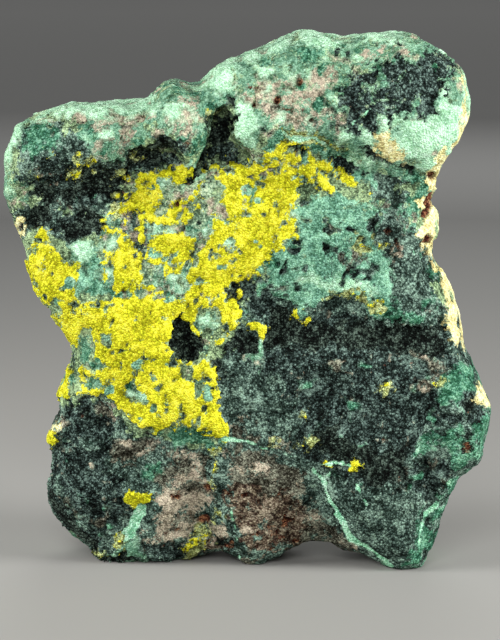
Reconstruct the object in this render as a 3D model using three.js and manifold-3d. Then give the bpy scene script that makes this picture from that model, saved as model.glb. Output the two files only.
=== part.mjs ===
// Guilleminite specimen: one broken slab of copper-rich rock that stands on its lower lobes.
// Millimetres, +Z up, the best face towards -Y, the origin on the ground below the middle.
//
// The slab is a squared pillow: a fine sphere whose equator is stretched to the rock's outline (X
// and Z) and whose two halves are pressed into a front and a back face (Y). The landforms of each
// face are added as heights, the side walls are worn in unevenly, the crusts are thin plates, and
// the breaks are cut away with flat or straight-sided solids.
import * as THREE from 'three';
import { ImprovedNoise } from 'three/addons/math/ImprovedNoise.js';
import { mergeVertices } from 'three/addons/utils/BufferGeometryUtils.js';
import Module from 'manifold-3d';

// Driving dimensions
const HEART = [0, 43]; // the point, in X and Z, that the outline is drawn around
const FRONT_DEPTH = 11; // how far the front face stands out from the middle plane
const BACK_DEPTH = 15; // the same for the back
const FRONT_SQUARENESS = 6; // 2 is a round rim, larger is squarer
const BACK_SQUARENESS = 4;
const SWEEP = 0.06; // how much the middle plane comes forward towards the lower right
const SIDE_WEAR = 1.4; // how far the side walls are worn in behind the front rim
const CRUST_THICKNESS = 0.8;
const CUTTER = 120; // the size of a block that is sure to reach past the rock
const MESH_DETAIL = 21;

// The rock's outline from the front, anticlockwise from its left tip
const OUTLINE = [
  [-36, 56.9], [-34.3, 52.6], [-32.5, 47.4], [-31.4, 42.6], [-28.3, 37.5], [-25.2, 33.2], [-26.6, 29.3],
  [-28.4, 22.7], [-30, 18.1], [-28.8, 14.8], [-30.9, 11.3], [-30.7, 8.8], [-27.5, 4.1], [-24, 1.2],
  [-20.6, -2.5], [-12, -1.1], [-3.3, 1.5], [0.8, -1], [5.9, 1.4], [10.3, 3.4], [15.6, 2.1], [18.5, 1.7],
  [23.7, -3], [26.5, -1.4], [28.2, 3.7], [30.1, 9.1], [31.5, 13.7], [34.9, 16.2], [36.3, 22.3],
  [36.9, 25.4], [34.5, 29.3], [32.7, 32.7], [32.2, 37.5], [30.6, 43], [27.7, 47.1], [29.3, 51.9],
  [28, 56.9], [29.3, 61.2], [33.1, 67.5], [32.2, 75.3], [28, 77.9], [24.6, 79.9], [18.6, 79.9],
  [14.9, 79], [8.8, 80.4], [0.8, 76.9], [-4.3, 75.4], [-6.2, 72.1], [-11.4, 73.6], [-14.2, 70],
  [-20.4, 69.2], [-24.5, 69.7], [-30.4, 68.2], [-34, 66.9], [-35.4, 61],
];

// Above this line, drawn from left to right, the front face stands out as a ridge and a block
const LEDGE = [
  [-40, 57], [-32.7, 58.3], [-24.7, 59], [-19.6, 61.1], [-16.4, 63.3], [-11.2, 64.5], [-9, 61.5],
  [-6.5, 62], [-5, 64], [-1.7, 63], [2.2, 60.8], [5.4, 65], [12.1, 64], [13.4, 63], [18.8, 62.3],
  [24.8, 60.5], [40, 60],
];
const LEDGE_RISE = 3;
const LEDGE_SLOPE = 7; // the height over which the ledge rises

// Rounded swells (a rise above 0) and dents (below 0) of the front face, each along a line
const FRONT_FORMS = [
  { from: [-28, 63.5], to: [-28, 63.5], reach: 4.5, rise: 1.6 }, // lumps of the left ridge
  { from: [-20.5, 66], to: [-18, 66.5], reach: 3.5, rise: 1.8 },
  { from: [-12.5, 67.5], to: [-9.5, 64], reach: 3, rise: 2 },
  { from: [-9, 70], to: [-4, 72], reach: 3.5, rise: 1.5 },
  { from: [-25, 55.5], to: [-17, 57.5], reach: 4.5, rise: -2.2 }, // hollow below the ridge
  { from: [-19, 48], to: [-13, 53], reach: 5, rise: -0.8 },
  { from: [3, 69], to: [24, 70], reach: 6, rise: 1 }, // face of the right block
  { from: [14, 61], to: [24, 57], reach: 3.5, rise: -1 }, // trough below the block
  { from: [33, 42], to: [32, 53], reach: 5, rise: -3 }, // pale break down the right edge
  { from: [-20, 37], to: [-10, 27], reach: 9, rise: 1.2 }, // belly of the yellow crust
  { from: [32, 24], to: [34, 19], reach: 6, rise: 3 }, // knob on the lower right
  { from: [-24, 13], to: [-18, 10], reach: 8, rise: 2 }, // lower left lobe
  { from: [19, 12], to: [24, 3], reach: 6, rise: 2 }, // lower right lobe
  { from: [-1, 14], to: [0, 5], reach: 5, rise: 1.2 },
  { from: [-8, 12], to: [-7, 2], reach: 3, rise: -1.6 }, // furrows between the lobes
  { from: [11, 12], to: [12, 3], reach: 3, rise: -1.8 },
];

const BACK_FORMS = [
  { from: [-18, 58], to: [12, 66], reach: 12, rise: 2.5 },
  { from: [18, 30], to: [-6, 24], reach: 11, rise: 2 },
  { from: [-20, 36], to: [22, 48], reach: 7, rise: -3 },
];

// Below this line, drawn from left to right, the front face leans back towards the ground
const FOLD = [[-40, 27], [-20, 27.5], [-12, 22], [-3, 21], [12, 17], [20, 15], [40, 13]];
const FOLD_LEAN = 0.18;

// Crusts that lie on the front of the rock, as outlines in X and Z
const YELLOW_CRUST = [
  [-28.6, 42], [-24, 41.5], [-15, 41.4], [-9, 43], [-2.6, 43.2], [-2.2, 40.8], [-4.8, 33.6],
  [-4.4, 31], [-4, 27.2], [-3.4, 21.2], [-9.7, 22.6], [-13, 22], [-17.5, 24], [-20.4, 27.5],
  [-23.2, 27.4], [-23, 33], [-26, 37.5],
];
const GREEN_CRUST = [
  [2.5, 45], [3.4, 41.4], [6.3, 40.5], [9.5, 39.5], [12.9, 42.2], [18, 41.4], [22.3, 38.7],
  [27.3, 37.7], [27.8, 41], [25.4, 47], [26.4, 52], [24, 58], [14, 59], [6, 54], [3, 49],
];

// Straight-sided holes, as outlines in X and Z and the Y of the hole's floor
const HOLES = [
  { // gash between the ridge and the block
    outline: [
      [-4.9, 68], [-2.4, 71.2], [-1.8, 65], [0.3, 63.2], [0.8, 61], [-4.9, 61.2], [-6, 59.6],
      [-9.2, 58.8], [-8.3, 60.2], [-6.8, 62], [-5.8, 64.2],
    ],
    floor: -8.5,
  },
  { // cleft below the ridge
    outline: [
      [-16.5, 63.6], [-12.5, 63], [-10.8, 64], [-8.6, 61.6], [-8.6, 59.4], [-11.2, 59.4], [-16.3, 59.2],
    ],
    floor: -10,
  },
  { // black pit in the yellow crust
    outline: [[-10.6, 38.8], [-9.3, 39.4], [-7.6, 36.4], [-6.4, 36.2], [-6.8, 32.8], [-8.6, 31.8], [-10.4, 34]],
    floor: -11,
  },
];

// Flat breaks: everything beyond this plane is gone. The plane passes through the point.
const BREAKS = [
  { point: [0, 13.5, 66], normal: [-0.25, 1, 0.42] }, // upper back
  { point: [14, 15, 34], normal: [0.5, 1, -0.06] }, // right back
  { point: [-16, 14, 40], normal: [-0.42, 1, 0.02] }, // left back
  { point: [4, 13, 12], normal: [0.06, 1, -0.5] }, // lower back
  { point: [-36, 4, 58], normal: [-0.75, 0.62, 0.15] }, // upper left side
  { point: [-30, 6, 16], normal: [-0.72, 0.66, 0.1] }, // lower left side
  { point: [33, 5, 68], normal: [0.8, 0.5, 0.05] }, // upper right side
  { point: [36, 4, 24], normal: [0.75, 0.62, 0.05] }, // back of the knob
  { point: [14, 5, 79.5], normal: [-0.12, 0.5, 0.86] }, // top of the right block
  { point: [-20, 5, 70.5], normal: [-0.2, 0.55, 0.82] }, // top of the left ridge
];

const PALE_GREEN = 0x9fb9a5;
const noiseSource = new ImprovedNoise();

// Rough ground of a given lump size, between about -1 and 1
function roughness(x, y, z, lumpSize) {
  const coarse = noiseSource.noise(x / lumpSize, y / lumpSize, z / lumpSize);
  const fine = noiseSource.noise(7 + (2.1 * x) / lumpSize, (2.1 * y) / lumpSize, (2.1 * z) / lumpSize);
  return coarse + 0.5 * fine;
}

// Distance from the heart to the outline in one direction
function outlineRadius(directionX, directionZ) {
  for (let i = 0; i < OUTLINE.length; i += 1) {
    const [startX, startZ] = OUTLINE[i];
    const [endX, endZ] = OUTLINE[(i + 1) % OUTLINE.length];
    const fromHeart = [startX - HEART[0], startZ - HEART[1]];
    const side = [endX - startX, endZ - startZ];
    const spread = directionX * side[1] - directionZ * side[0];
    const along = (fromHeart[0] * side[1] - fromHeart[1] * side[0]) / spread;
    const share = (fromHeart[0] * directionZ - fromHeart[1] * directionX) / spread;
    if (along > 0 && share >= 0 && share <= 1) return along;
  }
  throw new Error('The outline does not go all the way around its heart');
}

function distanceToSegment(x, z, [fromX, fromZ], [toX, toZ]) {
  const runX = toX - fromX;
  const runZ = toZ - fromZ;
  const length = runX * runX + runZ * runZ;
  const share = length > 0 ? ((x - fromX) * runX + (z - fromZ) * runZ) / length : 0;
  const nearest = THREE.MathUtils.clamp(share, 0, 1);
  return Math.hypot(x - fromX - nearest * runX, z - fromZ - nearest * runZ);
}

function heightOf(forms, x, z) {
  let height = 0;
  for (const { from, to, reach, rise } of forms) {
    const distance = distanceToSegment(x, z, from, to);
    height += rise * Math.exp(-((distance / reach) ** 2));
  }
  return height;
}

// The height above a line that is drawn from left to right
function heightAbove(line, x, z) {
  const next = line.findIndex(([pointX]) => pointX > x);
  const [startX, startZ] = line[next - 1];
  const [endX, endZ] = line[next];
  return z - THREE.MathUtils.mapLinear(x, startX, endX, startZ, endZ);
}

// How far the front stands out from a plain pillow
function frontRelief(x, z) {
  const aboveLedge = heightAbove(LEDGE, x, z);
  const ledge = LEDGE_RISE * THREE.MathUtils.smoothstep(aboveLedge, -LEDGE_SLOPE / 2, LEDGE_SLOPE / 2);
  const lean = FOLD_LEAN * Math.min(0, heightAbove(FOLD, x, z));
  const rough = 1.2 * roughness(x, 0, z, 9) + 0.7 * roughness(x, 20, z, 4.5);
  return heightOf(FRONT_FORMS, x, z) + ledge + lean + rough;
}

function backRelief(x, z) {
  return heightOf(BACK_FORMS, x, z) + 1.4 * roughness(x, 50, z, 12) + 0.8 * roughness(x, 70, z, 5);
}

// How far the side walls are worn in: across is -1 at the front face and 1 at the back face.
// The ground that the rock stands on is spared.
function sideWear({ x, y, z }, across) {
  const uneven = 1 + roughness(x * 40, y * 30, z * 40, 9);
  const behindRim = THREE.MathUtils.smoothstep(across, -0.4, 0.8);
  return SIDE_WEAR * uneven * behindRim * THREE.MathUtils.smoothstep(z, -0.9, -0.5);
}

// The pillow: growth thickens its front by that much, which gives the outer skin of a crust
function slab(growth) {
  const sphere = new THREE.IcosahedronGeometry(1, MESH_DETAIL);
  sphere.deleteAttribute('normal');
  sphere.deleteAttribute('uv');
  const geometry = mergeVertices(sphere, 1e-4);
  const position = geometry.getAttribute('position');
  const direction = new THREE.Vector3();
  for (let i = 0; i < position.count; i += 1) {
    direction.fromBufferAttribute(position, i).normalize();
    const share = Math.hypot(direction.x, direction.z);
    const rim = share > 1e-6 ? outlineRadius(direction.x / share, direction.z / share) : 0;
    const squareness = direction.y < 0 ? FRONT_SQUARENESS : BACK_SQUARENESS;
    const fullness = (1 - Math.min(share, 1) ** squareness) ** (1 / squareness);
    const radius = rim - share ** 6 * sideWear(direction, Math.sign(direction.y) * fullness);
    const x = HEART[0] + direction.x * radius;
    const z = HEART[1] + direction.z * radius;
    const middle = -SWEEP * x * THREE.MathUtils.smoothstep(60 - z, 0, 50);
    const depth = direction.y < 0 ? FRONT_DEPTH + frontRelief(x, z) + growth : BACK_DEPTH + backRelief(x, z);
    position.setXYZ(i, x, middle + Math.sign(direction.y) * fullness * depth, z);
  }
  return geometry;
}

const wasm = await Module();
wasm.setup();

function solidOf(geometry) {
  const bare = geometry.clone();
  bare.deleteAttribute('normal');
  bare.deleteAttribute('uv');
  const merged = mergeVertices(bare, 1e-4);
  return new wasm.Manifold(new wasm.Mesh({
    numProp: 3,
    vertProperties: Float32Array.from(merged.getAttribute('position').array),
    triVerts: Uint32Array.from(merged.index.array),
  }));
}

function geometryOf(solid) {
  const mesh = solid.getMesh();
  const geometry = new THREE.BufferGeometry();
  geometry.setAttribute('position', new THREE.BufferAttribute(mesh.vertProperties, 3));
  geometry.setIndex(new THREE.BufferAttribute(mesh.triVerts, 1));
  return geometry;
}

// A prism over an outline in X and Z that reaches from the Y of its floor out past the front
function prism(outline, floor) {
  const shape = new THREE.Shape(outline.map(([x, z]) => new THREE.Vector2(x, z)));
  const geometry = new THREE.ExtrudeGeometry(shape, { depth: CUTTER / 2, bevelEnabled: false });
  geometry.rotateX(Math.PI / 2);
  geometry.translate(0, floor, 0);
  return solidOf(geometry);
}

// A thin plate that follows the front face inside an outline
function crust(outline) {
  return solidOf(slab(CRUST_THICKNESS)).intersect(prism(outline, -2));
}

// A block that covers everything beyond a plane
function beyondPlane({ point, normal }) {
  const outward = new THREE.Vector3(...normal).normalize();
  const block = new THREE.BoxGeometry(CUTTER, CUTTER, CUTTER);
  block.translate(0, 0, CUTTER / 2);
  block.applyQuaternion(new THREE.Quaternion().setFromUnitVectors(new THREE.Vector3(0, 0, 1), outward));
  block.translate(...point);
  return solidOf(block);
}

function specimenSolid() {
  let rock = solidOf(slab(0)).add(crust(YELLOW_CRUST)).add(crust(GREEN_CRUST));
  for (const { outline, floor } of HOLES) rock = rock.subtract(prism(outline, floor));
  for (const flatBreak of BREAKS) rock = rock.subtract(beyondPlane(flatBreak));
  const ground = { point: [0, 0, 0], normal: [0, 0, -1] };
  return rock.subtract(beyondPlane(ground));
}

// The slab is measured from its heart, so it is moved to stand over the origin
function centredOnGround(geometry) {
  geometry.computeBoundingBox();
  const middle = geometry.boundingBox.getCenter(new THREE.Vector3());
  return geometry.translate(-middle.x, -middle.y, 0);
}

const specimen = new THREE.Mesh(
  centredOnGround(geometryOf(specimenSolid())),
  new THREE.MeshStandardMaterial({ color: PALE_GREEN, roughness: 0.9, metalness: 0 }),
);
specimen.name = 'specimen';

const group = new THREE.Group();
group.add(specimen);

export default group;
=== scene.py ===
"""Looks of the guilleminite specimen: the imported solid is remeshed, carved and coloured here."""
import collections
import itertools
import math

import bpy
import numpy as np
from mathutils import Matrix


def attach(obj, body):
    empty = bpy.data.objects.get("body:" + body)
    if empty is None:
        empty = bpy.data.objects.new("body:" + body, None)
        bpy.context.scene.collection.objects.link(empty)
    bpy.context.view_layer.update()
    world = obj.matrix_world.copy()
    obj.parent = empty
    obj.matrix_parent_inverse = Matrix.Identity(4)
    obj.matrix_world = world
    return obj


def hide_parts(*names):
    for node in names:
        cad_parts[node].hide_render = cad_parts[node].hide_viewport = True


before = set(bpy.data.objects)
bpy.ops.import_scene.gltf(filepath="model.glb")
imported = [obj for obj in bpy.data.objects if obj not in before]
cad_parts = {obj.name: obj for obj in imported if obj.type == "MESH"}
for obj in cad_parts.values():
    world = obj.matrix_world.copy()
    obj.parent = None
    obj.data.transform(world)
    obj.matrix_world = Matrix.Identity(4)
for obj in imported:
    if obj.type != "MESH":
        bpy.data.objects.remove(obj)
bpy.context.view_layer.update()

MM = 0.001  # the frame is in metres, and the rock is drawn in millimetres

# The camera stands in front of the specimen and looks ten degrees down
CAMERA_TARGET = np.array([0.225, -0.988, 36.4])
CAMERA_PITCH = math.radians(10)
CAMERA_DISTANCE = 500
CAMERA_FIELD = 2 * math.atan(0.096)  # from the picture's top to its bottom
EYE = CAMERA_TARGET + CAMERA_DISTANCE * np.array([0, -math.cos(CAMERA_PITCH), math.sin(CAMERA_PITCH)])

# Mesh, in mm
COARSE_VOXEL = 0.68
FINE_EDGE = 0.55  # longer edges than this are halved on the front
FRONT_LIMIT = 4.0  # the front is everything with a lower Y than this
SMOOTHING = 0.6  # the part of the way to its neighbours' middle that a round moves a point

# Relief, in mm
SINK = 0.2  # the finish starts that far below the solid's skin
RIM_SINK = 0.2  # and that much further where the camera sees the skin edge-on
LUMP_SIZE = 4.5
LUMP_CURVE = 1.4  # how steeply a lump falls from its top, which is at 1,
LUMP_FLOOR = -0.6  # to the ground between the lumps
ROUGH_SIZE = 2.4
GRAIN_SIZE = 0.62
GRAIN_TOP = 0.6
MINERAL_SLOPE = 0.45  # the width of the slope at a mineral's edge
CRACK_DEPTH = 0.8
CRACK_SPREAD = 0.1  # how far a crack's walls stand beside its line
CRACK_SLOPE = 0.3  # the width of its walls

# Flat chips: the size of their faces, their share of the height, and the seed of their noise
BACK_FACES = ((9, 1, 71), (4.2, 0.5, 72), (1.9, 0.25, 73))
FRONT_FACES = ((3.4, 1, 74), (1.6, 0.6, 75))
BACK_CHIPS = 1.1  # their height in mm
FRONT_CHIPS = 0.25
BACK_WEAR = 0.4  # how far the back is worn down
CHIP_CHANGE = 14  # the width of the change from the front's chips to the back's

# The texture sheet
SEAM = 2.0  # the Y at which the front's half and the back's half meet
WALL_START = 9.0  # each half's walls start this far from the middle plane, on its own side,
WALL_SPREAD = 0.8  # and they are folded outwards by this much for each mm
FRONT_SHARE = 0.62  # the part of the sheet's width that the front has
HALF_SHEET = 0.49  # a little under half, so that a margin stays free

# The floor, in metres
FLOOR_RADIUS = 8.0
FLOOR_FADE = 4.0  # the distance that the floor's greys are spread over

LIGHT_TARGET = np.array([0, 0, 40])

# Outlines of the minerals on an upright plane in front of the rock, in X and Z, as seen from the camera
DRAWING_PLANE = -13.0
OUTSIDE = -3.0  # the depth that stands for everywhere far outside an outline
ZONES = {
    "mottle": [
        # between the yellow
        [(8, 63.5), (7.5, 50.5), (2, 47), (-2.5, 40.5), (-20, 41), (-21.5, 47), (-20, 60), (2, 63.5)],
    ],
    "yellow": [
        # left strip
        [(-27.6, 38.8), (-30.5, 42.7), (-31.5, 44.9), (-32, 48), (-31.4, 51.4), (-30.4, 52.1),
         (-29.5, 51.5), (-28.9, 49.8), (-27.9, 48.6), (-26, 46.8), (-25.2, 47.1), (-24.9, 45.9),
         (-25.6, 43.9), (-26.7, 43.3), (-25.8, 41.8), (-24.6, 41.6)],
        # body
        [(-27.7, 26.9), (-27.4, 28.4), (-25.9, 30.8), (-24.7, 32), (-24.7, 34.1), (-28.4, 39.7),
         (-26.7, 43.3), (-25.8, 41.8), (-22.9, 41.5), (-20.8, 41.8), (-18.5, 41.3), (-16.3, 41.5),
         (-14.4, 42.1), (-12.6, 41.5), (-11.2, 41.8), (-10.3, 40.9), (-8.5, 41.2), (-6.6, 43), (-6.2, 44.2),
         (-7.1, 44.7), (-8.5, 44.3), (-9.6, 44.9), (-7.7, 47.4), (-6.5, 47.1), (-6.6, 48.9), (-5.9, 49.9),
         (-4.1, 50.4), (-3.3, 48.9), (-1.5, 49.2), (-0.4, 48), (2, 48), (2.9, 45), (-1.2, 45), (-2.7, 45.5),
         (-3.1, 43.7), (-2.6, 41), (-0.9, 40.6), (-0.9, 39.1), (-1.5, 37.8), (-3.9, 34.6), (-5.6, 34.1),
         (-6.2, 33), (-7.4, 32.3), (-8.9, 32), (-10.6, 32.9), (-11.8, 34.8), (-11.5, 38.2), (-10, 39.7),
         (-8.4, 38.2), (-7.7, 36.6), (-6.2, 36.4), (-5.6, 34.8), (-6.2, 33), (-5.5, 31.7), (-3.3, 20.9),
         (-6.5, 21.9), (-7.7, 23), (-9.8, 23), (-13.5, 21.9), (-15.5, 22.5), (-17.4, 23.6), (-19.9, 26.9),
         (-21.1, 27.6), (-23.6, 27.6), (-25, 26.9)],
        # upper body
        [(-6.2, 49.8), (-5.2, 51.5), (-5, 52.7), (-3.3, 52.7), (-2.4, 53.9), (-1.2, 54.2), (-0.9, 55.7),
         (-1.8, 56.4), (-3.3, 56.1), (-5, 56.8), (-3.8, 58.6), (-5.3, 59.2), (-2.4, 61.5), (0.5, 60.9),
         (2, 62.8), (4.3, 64), (5.4, 63.1), (6.9, 62.7), (8.8, 64.1), (10.1, 62.5), (11.5, 62.4),
         (12.1, 60.9), (10.7, 60.3), (12.1, 57.7), (10.1, 57.4), (8.8, 58.1), (7.9, 57.9), (8.1, 56.7),
         (6.2, 55.4), (6.2, 54.2), (7.1, 53.6), (7.1, 51.5), (6.1, 50.8), (4.5, 48.7), (2.8, 48.6),
         (2, 47.8), (-0.4, 47.1), (-1.5, 48.6), (-2.4, 50.7), (-3.9, 50.9), (-4.7, 50.1)],
        [(17.8, 57.1), (16.5, 56.8), (13, 59), (12.4, 60.3), (13.6, 60.3), (16.5, 58.6)],
        # patch above
        [(-9.2, 61.2), (-9.7, 58.6), (-10.5, 58.3), (-10.8, 59.8), (-12, 59.8), (-12.1, 57.7),
         (-11.7, 56.2), (-13.7, 54.2), (-12.9, 53.6), (-13.5, 52.7), (-14.6, 53), (-14.9, 54.2),
         (-16.4, 54.8), (-18.1, 54.8), (-17.8, 56.1), (-16.9, 56.8), (-17.1, 60.2), (-10.8, 61.4)],
        # tower
        [(-18.4, 51.7), (-17.7, 51.2), (-17.3, 49.2), (-15.8, 48.3), (-14.5, 44.4), (-15, 43.3),
         (-16.4, 43.9), (-17.9, 43.3), (-19.2, 43.6), (-19.8, 45.9), (-19, 50.4)],
        # round patch
        [(-14.8, 48.6), (-14.2, 50.1), (-12.9, 51.1), (-11.1, 51.5), (-9.4, 51.2), (-8.2, 50.2),
         (-7.9, 48.6), (-8.5, 47.1), (-10, 45.3), (-10.9, 46.2), (-13.5, 46.8), (-14.5, 47.7)],
        [(-12.4, 55.7), (-11.1, 55.8), (-10, 55.1), (-9.8, 53.9), (-11.1, 53.2), (-12.3, 53.9)],
        [(-21.5, 47), (-20.9, 46.8), (-20.4, 44.4), (-21, 44.2)],
        [(-18.4, 11.7), (-17.8, 12.7), (-16.9, 13.3), (-16, 12.7), (-14, 12.9), (-14.1, 11.5),
         (-15.9, 10.5), (-17.2, 10.8)],
        [(-29.5, 21.6), (-28.8, 21.8), (-28.5, 20.3), (-29.1, 19.4), (-29.7, 20.4)],
        [(6.2, 40.7), (7.4, 40.9), (8.9, 39.9), (9.4, 38.7), (8.1, 38.1), (6.5, 39)],
        [(-1.2, 38.8), (2.6, 38.5), (2.6, 37), (2, 35.7), (1.1, 36.6), (-0.4, 37)],
        [(10.4, 17.1), (11.3, 17.3), (12, 16.7), (11.3, 16.4)],
        [(-8.5, 54.8), (-8.8, 55.7), (-7.2, 59), (-6.2, 58.9), (-6.5, 57.1), (-7.3, 55.7)],
        [(-5.3, 56.2), (-4.7, 57.1), (-1.5, 56.2), (-0.9, 55.4), (-1.2, 53.9), (-2.1, 53), (-2.7, 53.6),
         (-3, 55.1)],
        [(-5, 50.4), (-5.3, 52.1), (-4.7, 53), (-3.3, 53), (-2.7, 52.1), (-3.3, 50.7)],
        # middle
        [(-8.5, 41.2), (-9.4, 42.1), (-8.5, 43.9), (-6.5, 44.7), (-7.7, 45.6), (-7.7, 47.1), (-7.4, 48.9),
         (-6.2, 49.9), (-4.7, 50.7), (-1.8, 48.3), (-0.4, 47.7), (-0.4, 45.9), (-1.2, 45), (-2.4, 45),
         (-2.7, 42.1), (-6.5, 42.1)],
    ],
    "ochre": [
        [(-17.8, 61.4), (-17.3, 60.6), (-18.1, 59.6), (-19.2, 59.5), (-19.7, 60.2)],
        [(-25.4, 63.3), (-24.4, 62.8), (-24.5, 60.9), (-25.1, 59.2), (-25.9, 59.5), (-25.3, 61.2)],
        [(-23.3, 61.9), (-22.7, 61.7), (-22.9, 60.9), (-23.3, 61.1)],
        [(17.7, 50.8), (20.3, 50.5), (21.4, 49.5), (19.6, 48.9), (18, 49.5)],
        [(-5.3, 69.1), (-3.8, 69.4), (-3.7, 68.7), (-5, 68.5)],
        [(-5.5, 19.4), (-4.8, 19.7), (-4.6, 15.1), (-5.4, 14.2)],
        [(-19, 58.7), (-18.5, 58.6), (-18.7, 56.5), (-19.3, 56.8)],
        [(-9.6, 2.2), (-8.8, 5.7), (-7.8, 7.3), (-6.3, 8), (-5.5, 6.7), (-6.6, 5), (-7.9, 3.9),
         (-8.5, 2.4)],
        [(19.8, 39.6), (16.3, 41.6), (14.3, 42.2), (10.6, 41.6), (12.5, 42.5), (14.5, 42.8), (16.6, 42.2)],
        [(4.9, 66.3), (9.8, 65.5), (13.3, 63.3), (9.5, 64.7), (7.2, 65)],
        [(-22.4, 3.2), (-21.5, 4.5), (-18.7, 6.7), (-17.8, 6.4), (-18.4, 5.3), (-21.7, 3)],
    ],
    "black": [
        # big field
        [(-3, 45.5), (2.5, 45), (3, 42.5), (4, 41.5), (6, 40.5), (7.5, 38.5), (9, 39.5), (11, 39),
         (14.5, 39), (17.5, 38), (26.5, 37.5), (27.5, 39), (28, 41), (29.5, 34.5), (31, 33), (30, 31),
         (28, 30), (27, 28), (28, 25.5), (31, 25), (31, 23), (26, 22), (24, 17.5), (29.5, 17.5), (30, 15.5),
         (29, 13.5), (26, 12.5), (15, 14), (7, 18), (7.5, 23.5), (2.5, 31.5), (2, 36), (2.5, 38.5),
         (1, 38.5), (0, 40.5), (-2.5, 41)],
        # gash
        [(-2, 71.5), (-2, 65), (1, 62), (0, 61), (-2.5, 62), (-4.5, 61.5), (-6.5, 60), (-9, 58.5),
         (-10, 58.5), (-10, 60), (-7.5, 61), (-5.5, 65.5), (-5.5, 68), (-4.5, 69), (-3, 69.5)],
        # cleft
        [(-9, 62.5), (-9.5, 62), (-12, 61), (-16.5, 60.5), (-17, 59.5), (-17, 57.5), (-18.5, 56.5),
         (-21.5, 56), (-23, 55), (-26, 54.5), (-28, 56.5), (-29.5, 55.5), (-31.5, 56.5), (-31.5, 58),
         (-30, 64), (-28, 63.5), (-27, 62), (-24.5, 61), (-18.5, 61.5), (-16.5, 63.5), (-13.5, 65),
         (-11.5, 65)],
        [(-33, 54), (-31, 55), (-29.5, 55), (-29, 54), (-29.5, 52.5), (-31, 52), (-32.5, 52.5)],
        [(-9.5, 53.5), (-9.5, 52), (-14, 52.5), (-14, 53), (-12.5, 53.5), (-11, 53)],
        # top right
        [(31, 75.5), (28.5, 73.5), (27, 69), (22.5, 69), (18.5, 66.5), (14.5, 66.5), (13.5, 69.5), (14, 76),
         (15.5, 76.5), (18, 76), (22, 77), (24, 76.5), (26, 78), (28.5, 77.5)],
        [(25, 79.5), (26, 79.5), (26, 79), (25, 79)],
        [(21.5, 79), (22, 79), (22, 77), (21.5, 77)],
        [(14, 77), (14.5, 77), (14.5, 73.5), (14, 73.5)],
        [(26.5, 79.5), (27, 79), (27, 77), (26.5, 77.5)],
        [(34, 23), (32.5, 23), (31.5, 25), (31, 27), (32.5, 27.5), (34, 27), (35, 25)],
        # lobe edge
        [(-29.5, 15.5), (-28, 13.5), (-27, 10.5), (-21.5, 5.5), (-22, 3), (-16, 2.5), (-18, 2), (-21.5, 2),
         (-27.5, 7), (-30, 10.5), (-30.5, 14)],
        [(-15.5, 4.5), (-11, 5), (-9.5, 3.5), (-10, 2), (-14.5, 2.5)],
        [(13.5, 43.5), (12, 44), (12, 46), (11, 49), (12, 49), (13.5, 48.5), (13, 47), (14, 45.5)],
        [(16.5, 52.5), (18.5, 53.5), (19, 52.5), (18.5, 50.5), (17, 51)],
        [(18, 44.5), (15, 45.5), (15, 46), (18, 45.5)],
        [(-4.5, 29.5), (-5.5, 31.5), (-5, 33), (-1, 38), (1.5, 36), (1.5, 34), (-4, 33.5), (-4.5, 32),
         (-4, 30)],
        [(-28, 53.5), (-23, 54.5), (-21.5, 53), (-22, 51.5), (-26, 51), (-27.5, 52)],
        [(17, 76.5), (17.5, 76.5), (17.5, 74.5), (17, 74.5)],
        [(23.5, 78.5), (24, 78.5), (24, 76.5), (23.5, 76.5)],
        [(13, 71.5), (14, 71.5), (14, 69), (13.5, 69.5)],
        # lobe top
        [(-28.5, 17.5), (-29, 19), (-28, 22), (-28, 26.5), (-24, 27), (-23, 26), (-23, 24), (-20, 23),
         (-20.5, 21), (-22, 19.5), (-24, 19.5)],
        [(24, 50.5), (25.5, 50), (27, 48.5), (26, 47), (25, 48)],
        [(12, 62), (13.5, 62), (15.5, 60.5), (15, 60), (13.5, 60.5)],
        # lobe
        [(-22, 5), (-27, 10.5), (-28, 13.5), (-29.5, 15.5), (-28.5, 19.5), (-26.5, 19), (-22, 19.5),
         (-20, 20.5), (-20.5, 17.5), (-18.5, 14.5), (-18.5, 10.5), (-18, 9.5)],
    ],
    "darkgreen": [
        # left ridge
        [(-21, 51), (-27.5, 50.5), (-29, 52), (-32, 51.5), (-33.5, 52.5), (-35, 55.5), (-32, 56),
         (-31.5, 58.5), (-32.5, 60.5), (-31.5, 63.5), (-29.5, 63.5), (-29.5, 62.5), (-30.5, 61),
         (-31, 58.5), (-31, 56), (-28, 56), (-27, 55), (-23.5, 54.5), (-20, 55.5), (-20.5, 54)],
        # middle band
        [(-15.5, 43.5), (-17.5, 48.5), (-19, 51), (-19, 53), (-18, 55), (-14.5, 53.5), (-15, 47),
         (-14, 44)],
        # under block
        [(5.5, 67), (10, 69), (11, 70.5), (15, 66.5), (12.5, 64), (10.5, 65.5), (8, 65.5)],
        # below right face
        [(16, 58.5), (17, 60), (21, 60.5), (24.5, 58.5), (24, 56), (21.5, 55.5), (19.5, 55.5)],
        # right mottled
        [(26.5, 39), (23, 38.5), (20, 40.5), (18.5, 44), (18.5, 47.5), (21.5, 49), (17.5, 51), (18, 54.5),
         (19.5, 55.5), (23.5, 55.5), (24.5, 53.5), (23.5, 51), (25.5, 50), (26.5, 47), (27.5, 41.5)],
        [(-22, 63), (-20.5, 63), (-20, 61.5), (-21.5, 61), (-22.5, 62)],
        # field top
        [(23, 38), (11, 38), (9, 39), (10, 41), (14.5, 42)],
        [(-27.5, 32.5), (-24.5, 34.5), (-24.5, 32), (-27, 30.5)],
        # lower ground
        [(40.5, -7), (-34, -7), (-33.5, 27), (-20, 27.5), (-18, 23), (-13, 21), (-5, 20.5), (-5.5, 23.5),
         (-5.5, 33), (-2, 34.5), (-2, 41.5), (2, 46), (7.5, 47), (22, 56), (27.5, 50.5), (29, 41.5),
         (40, 37)],
        # left dark
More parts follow.
